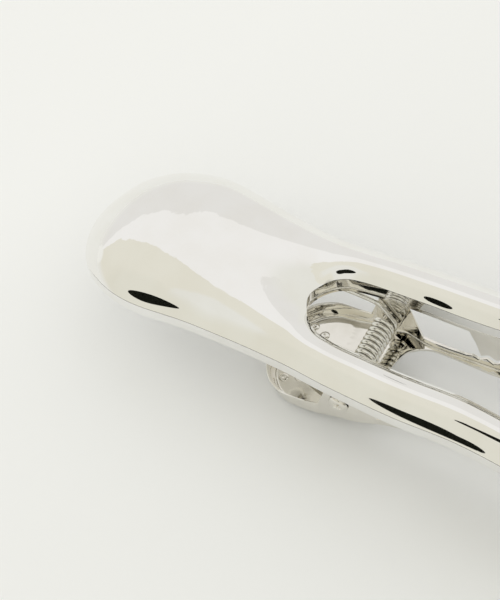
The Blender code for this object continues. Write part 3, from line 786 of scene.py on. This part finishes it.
# ---------------------------------------------------------------- materials

class Nodes:
    """Short calls for building a node tree."""

    def __init__(self, tree):
        self.tree = tree
        tree.nodes.clear()

    def add(self, kind, **settings):
        node = self.tree.nodes.new(kind)
        for name, value in settings.items():
            setattr(node, name, value)
        return node

    def link(self, source, target):
        self.tree.links.new(source, target)

    def set(self, socket, value):
        """Links a socket, or sets a plain value."""
        if isinstance(value, bpy.types.NodeSocket):
            self.link(value, socket)
        else:
            socket.default_value = value

    def math(self, operation, first, second=0.0, clamp=False):
        node = self.add("ShaderNodeMath", operation=operation, use_clamp=clamp)
        self.set(node.inputs[0], first)
        self.set(node.inputs[1], second)
        return node.outputs[0]

    def noise(self, vector, scale, detail=3.0, roughness=0.5, distortion=0.0):
        node = self.add("ShaderNodeTexNoise")
        self.set(node.inputs["Vector"], vector)
        node.inputs["Scale"].default_value = scale
        node.inputs["Detail"].default_value = detail
        node.inputs["Roughness"].default_value = roughness
        node.inputs["Distortion"].default_value = distortion
        return node.outputs["Fac"]

    def range(self, value, low, high, to_low=0.0, to_high=1.0, smooth=True):
        node = self.add("ShaderNodeMapRange")
        node.interpolation_type = "SMOOTHSTEP" if smooth else "LINEAR"
        self.set(node.inputs["Value"], value)
        node.inputs["From Min"].default_value = low
        node.inputs["From Max"].default_value = high
        node.inputs["To Min"].default_value = to_low
        node.inputs["To Max"].default_value = to_high
        return node.outputs["Result"]

    def mix(self, share, first, second):
        node = self.add("ShaderNodeMix", data_type="RGBA")
        self.set(node.inputs["Factor"], share)
        self.set(node.inputs["A"], first if isinstance(first, bpy.types.NodeSocket) else (*first, 1.0))
        self.set(node.inputs["B"], second if isinstance(second, bpy.types.NodeSocket) else (*second, 1.0))
        return node.outputs["Result"]

    def bump(self, height, distance, strength=1.0, normal=None):
        node = self.add("ShaderNodeBump")
        node.inputs["Strength"].default_value = strength
        node.inputs["Distance"].default_value = distance
        self.link(height, node.inputs["Height"])
        if normal is not None:
            self.link(normal, node.inputs["Normal"])
        return node.outputs["Normal"]


def plated_metal(name, light, dark, gloss, wave, pit, grain=None):
    """Nickel plating: slow waviness, fine pits, hairline polishing marks and uneven gloss."""
    material = bpy.data.materials.new(name)
    material.use_nodes = True
    nodes = Nodes(material.node_tree)
    place = nodes.add("ShaderNodeTexCoord").outputs["Object"]
    surface = nodes.add("ShaderNodeBsdfPrincipled")
    surface.inputs["Metallic"].default_value = 1.0
    tone = nodes.noise(place, TONE_SCALE, detail=4.0)
    nodes.link(nodes.mix(nodes.range(tone, 0.35, 0.7), light, dark), surface.inputs["Base Color"])
    haze = nodes.noise(place, HAZE_SCALE, detail=5.0, roughness=0.6)
    nodes.link(nodes.range(haze, 0.3, 0.75, *gloss), surface.inputs["Roughness"])
    waves = nodes.noise(place, WAVE_SCALE, detail=1.0)
    normal = nodes.bump(waves, wave)
    pits = nodes.add("ShaderNodeTexVoronoi")
    pits.inputs["Scale"].default_value = PIT_SCALE
    nodes.link(place, pits.inputs["Vector"])
    normal = nodes.bump(nodes.range(pits.outputs["Distance"], 0.0, PIT_SIZE), pit, normal=normal)
    if grain:
        stretch = nodes.add("ShaderNodeMapping")
        stretch.inputs["Scale"].default_value = grain
        nodes.link(place, stretch.inputs["Vector"])
        lines = nodes.noise(stretch.outputs["Vector"], GRAIN_SCALE, detail=3.0)
        normal = nodes.bump(lines, GRAIN_DEPTH, normal=normal)
    nodes.link(normal, surface.inputs["Normal"])
    output = nodes.add("ShaderNodeOutputMaterial")
    nodes.link(surface.outputs["BSDF"], output.inputs["Surface"])
    return material


def paper_floor():
    """Smooth pale paper, with a barely seen tooth, and painted shade that makes it a little darker towards
    one side.
    """
    material = bpy.data.materials.new("paper_floor")
    material.use_nodes = True
    nodes = Nodes(material.node_tree)
    place = nodes.add("ShaderNodeTexCoord").outputs["Object"]
    surface = nodes.add("ShaderNodeBsdfPrincipled")
    surface.inputs["Roughness"].default_value = 0.9
    surface.inputs["Specular IOR Level"].default_value = 0.1
    tone = nodes.noise(place, 900.0, detail=4.0)
    # painted shade: the paper's colour darkens along one direction, standing in for light falling off
    # across the table; a little random tone is added to it
    slope = nodes.add("ShaderNodeVectorMath", operation="DOT_PRODUCT")
    nodes.link(place, slope.inputs[0])
    slope.inputs[1].default_value = PAPER_SHADE_DIRECTION
    painted_shade = nodes.range(slope.outputs["Value"], PAPER_SHADE_START, PAPER_SHADE_END, smooth=False)
    painted_shade = nodes.math("ADD", painted_shade, nodes.math("MULTIPLY", tone, 0.1), clamp=True)
    colour = nodes.mix(painted_shade, PAPER_LIGHT, PAPER_PAINTED_SHADE)
    nodes.link(colour, surface.inputs["Base Color"])
    nodes.link(nodes.bump(tone, 0.01 * MM, strength=0.3), surface.inputs["Normal"])
    output = nodes.add("ShaderNodeOutputMaterial")
    nodes.link(surface.outputs["BSDF"], output.inputs["Surface"])
    return material


def black_card():
    """Matt black card, for the flags."""
    material = bpy.data.materials.new("black_card")
    material.use_nodes = True
    surface = material.node_tree.nodes["Principled BSDF"]
    surface.inputs["Base Color"].default_value = (*BLACK_CARD, 1.0)
    surface.inputs["Roughness"].default_value = 1.0
    surface.inputs["Specular IOR Level"].default_value = 0.0
    return material


# ---------------------------------------------------------------- surroundings

def direction(azimuth, elevation):
    """Unit vector towards a place in the studio: azimuth from +X towards +Y, in degrees."""
    a = math.radians(azimuth)
    e = math.radians(elevation)
    return Vector((math.cos(a) * math.cos(e), math.sin(a) * math.cos(e), math.sin(e)))


def camera_axes():
    """Unit vectors to the camera's right, up, and ahead of it."""
    a = math.radians(CAMERA_AZIMUTH)
    e = math.radians(CAMERA_ELEVATION)
    r = math.radians(CAMERA_ROLL)
    ahead = Vector((-math.sin(a) * math.cos(e), math.cos(a) * math.cos(e), -math.sin(e)))
    level = Vector((math.cos(a), math.sin(a), 0.0))
    upright = level.cross(ahead)
    right = level * math.cos(r) + upright * math.sin(r)
    up = upright * math.cos(r) - level * math.sin(r)
    return right, up, ahead


def camera_place():
    right, up, ahead = camera_axes()
    return HINGE - right * HINGE_RIGHT - up * HINGE_UP - ahead * HINGE_AHEAD


def dome_top_z(x, y):
    return float(shell_base_z(x, y) + dome_height(x, y))


def reflected_view(x, y):
    """A point on the shell's dome, and the direction of what the camera sees mirrored there."""
    spot = HINGE + Vector((x, y, dome_top_z(x, y)))
    rise_x = dome_top_z(x + SURFACE_PROBE, y) - dome_top_z(x - SURFACE_PROBE, y)
    rise_y = dome_top_z(x, y + SURFACE_PROBE) - dome_top_z(x, y - SURFACE_PROBE)
    normal = Vector((-rise_x, -rise_y, 2 * SURFACE_PROBE)).normalized()
    return spot, (spot - camera_place()).normalized().reflect(normal)


def build_studio():
    """The studio round the table: cream card, a white strip panel overhead, and greyer walls.

    The strip runs along X. Angles round the X axis are counted from overhead towards +Y.
    """
    world = bpy.data.worlds.new("studio")
    world.use_nodes = True
    bpy.context.scene.world = world
    nodes = Nodes(world.node_tree)
    look = nodes.add("ShaderNodeTexCoord").outputs["Generated"]
    split = nodes.add("ShaderNodeSeparateXYZ")
    nodes.link(look, split.inputs[0])
    toward_x, toward_y, toward_z = split.outputs
    behind = nodes.math("MULTIPLY", toward_x, -1.0)
    fine = nodes.math("SUBTRACT", nodes.noise(look, 18.0, detail=6.0, roughness=0.65), 0.5)
    broad = nodes.math("SUBTRACT", nodes.noise(look, 4.0, detail=2.0), 0.5)
    tilt = nodes.math("MULTIPLY", nodes.math("ARCTAN2", toward_y, toward_z), 180.0 / math.pi)
    tilt = nodes.math("ADD", tilt, nodes.math("MULTIPLY", fine, FINE_RAGGEDNESS))
    tilt = nodes.math("ADD", tilt, nodes.math("MULTIPLY", broad, BROAD_RAGGEDNESS))

    def zone(colour, towards, reach, soft, base, ragged=0.0):
        """Blends a colour in round a direction, out to reach degrees, with an edge soft degrees wide."""
        dot = nodes.add("ShaderNodeVectorMath", operation="DOT_PRODUCT")
        nodes.link(look, dot.inputs[0])
        dot.inputs[1].default_value = direction(*towards)
        shifted = nodes.math("ADD", dot.outputs["Value"], nodes.math("MULTIPLY", fine, ragged))
        low = math.cos(math.radians(reach + soft))
        high = math.cos(math.radians(reach))
        return nodes.mix(nodes.range(shifted, low, high), base, colour)

    def past_strip_edge(edge, turn):
        """0 below an edge of the strip, and 1 above it."""
        level = nodes.math("ADD", nodes.math("MULTIPLY", behind, turn), edge)
        over = nodes.math("SUBTRACT", tilt, level)
        return nodes.range(over, -0.5 * STRIP_SOFTNESS, 0.5 * STRIP_SOFTNESS)

    past_low = past_strip_edge(STRIP_LOW, STRIP_LOW_TURN)
    past_high = past_strip_edge(STRIP_HIGH, STRIP_HIGH_TURN)
    panel = nodes.mix(past_high, WHITE_PANEL, GREY_WALL)
    panel = nodes.mix(nodes.range(toward_x, *STRIP_END), panel, PALE_CARD)
    colour = zone(PALE_CARD, (-70.0, 55.0), 22.0, 5.0, CREAM_CARD, 0.05)
    colour = zone(WARM_CARD, (-125.0, 25.0), 25.0, 15.0, colour)
    colour = nodes.mix(past_low, colour, panel)
    colour = nodes.mix(nodes.range(toward_z, 0.0, HORIZON_BLEND), FAR_PAPER, colour)
    colour = zone(PAPER_GLOW, (180.0, 0.0), 6.0, 3.0, colour)
    colour = zone(DIM_ROOM, (-15.0, 0.0), 24.0, 20.0, colour)
    background = nodes.add("ShaderNodeBackground")
    nodes.link(colour, background.inputs["Color"])
    background.inputs["Strength"].default_value = 1.0
    output = nodes.add("ShaderNodeOutputWorld")
    nodes.link(background.outputs["Background"], output.inputs["Surface"])


def build_flag(name, seen_at, distance, half_length, half_width, turn, material):
    """A black oval card that only reflections see, which the camera finds mirrored in the dome.

    It faces the place where it is seen. Its length runs level, turned in the card's own plane.
    """
    mesh = bmesh.new()
    bmesh.ops.create_circle(mesh, cap_ends=True, segments=48, radius=1.0)
    data = bpy.data.meshes.new(name)
    mesh.to_mesh(data)
    mesh.free()
    data.materials.append(material)
    card = bpy.data.objects.new(name, data)
    spot, aim = reflected_view(seen_at[0] * MM, seen_at[1] * MM)
    across = Vector((0.0, 0.0, 1.0)).cross(aim).normalized()
    upward = aim.cross(across)
    angle = math.radians(turn)
    length = across * math.cos(angle) + upward * math.sin(angle)
    width = aim.cross(length)
    sides = (length * half_length * MM, width * half_width * MM, aim)
    place = Matrix(sides).transposed().to_4x4()
    place.translation = spot + aim * distance * MM
    card.matrix_world = place
    for ray in ("camera", "diffuse", "shadow", "transmission"):
        setattr(card, "visible_" + ray, False)
    bpy.context.scene.collection.objects.link(card)


def build_light(name, towards, spread, strength, colour):
    """A far soft light, spread degrees wide, that reflections don't see."""
    light = bpy.data.lights.new(name, "SUN")
    light.angle = math.radians(spread)
    light.energy = strength
    light.color = colour
    item = bpy.data.objects.new(name, light)
    item.rotation_euler = direction(*towards).to_track_quat("Z", "Y").to_euler()
    item.visible_glossy = False
    bpy.context.scene.collection.objects.link(item)


def build_floor():
    """The table: one flat sheet of paper under the clip."""
    mesh = bmesh.new()
    bmesh.ops.create_grid(mesh, x_segments=1, y_segments=1, size=PAPER_HALF_SIZE)
    data = bpy.data.meshes.new("table_paper")
    mesh.to_mesh(data)
    mesh.free()
    data.materials.append(paper_floor())
    floor = bpy.data.objects.new("table_paper", data)
    bpy.context.scene.collection.objects.link(floor)


def build_camera():
    """A long-lens camera that looks down over the thumb end, placed from the hinge."""
    right, up, ahead = camera_axes()
    data = bpy.data.cameras.new("camera")
    data.sensor_fit = "VERTICAL"
    data.sensor_height = CAMERA_SENSOR
    data.lens = CAMERA_LENS
    data.clip_start = CAMERA_CLIP
    camera = bpy.data.objects.new("camera", data)
    place = Matrix((right, up, -ahead)).transposed().to_4x4()
    place.translation = camera_place()
    camera.matrix_world = place
    bpy.context.scene.collection.objects.link(camera)
    bpy.context.scene.camera = camera


def main():
    polished = plated_metal(
        "polished_nickel", (0.905, 0.90, 0.885), (0.885, 0.875, 0.85),
        gloss=(0.015, 0.04), wave=0.012 * MM, pit=0.002 * MM)
    stamped = plated_metal(
        "stamped_nickel", (0.82, 0.80, 0.75), (0.74, 0.715, 0.65),
        gloss=(0.03, 0.08), wave=0.006 * MM, pit=0.003 * MM, grain=(1.0, 0.08, 1.0))
    wire = plated_metal(
        "spring_wire", (0.84, 0.83, 0.79), (0.72, 0.70, 0.63),
        gloss=(0.05, 0.12), wave=0.003 * MM, pit=0.003 * MM, grain=(0.3, 1.0, 0.3))
    build_top_shell(polished)
    build_under_shell(polished)
    build_upper_bracket(stamped)
    for name, (x, y) in RIVET_SPOTS.items():
        build_rivet(name, x, y, stamped)
    build_lower_lever(stamped)
    build_hinge_pin(stamped)
    build_torsion_spring(wire)
    build_studio()
    build_floor()
    black = black_card()
    for name, settings in FLAGS.items():
        build_flag(name, *settings, black)
    build_light("key", (150.0, 60.0), 70.0, 0.12, (1.0, 1.0, 1.0))
    build_light("side", (-160.0, 35.0), 60.0, 0.75, (1.0, 1.0, 0.99))
    build_camera()
    bpy.context.scene.view_settings.view_transform = "Standard"


main()
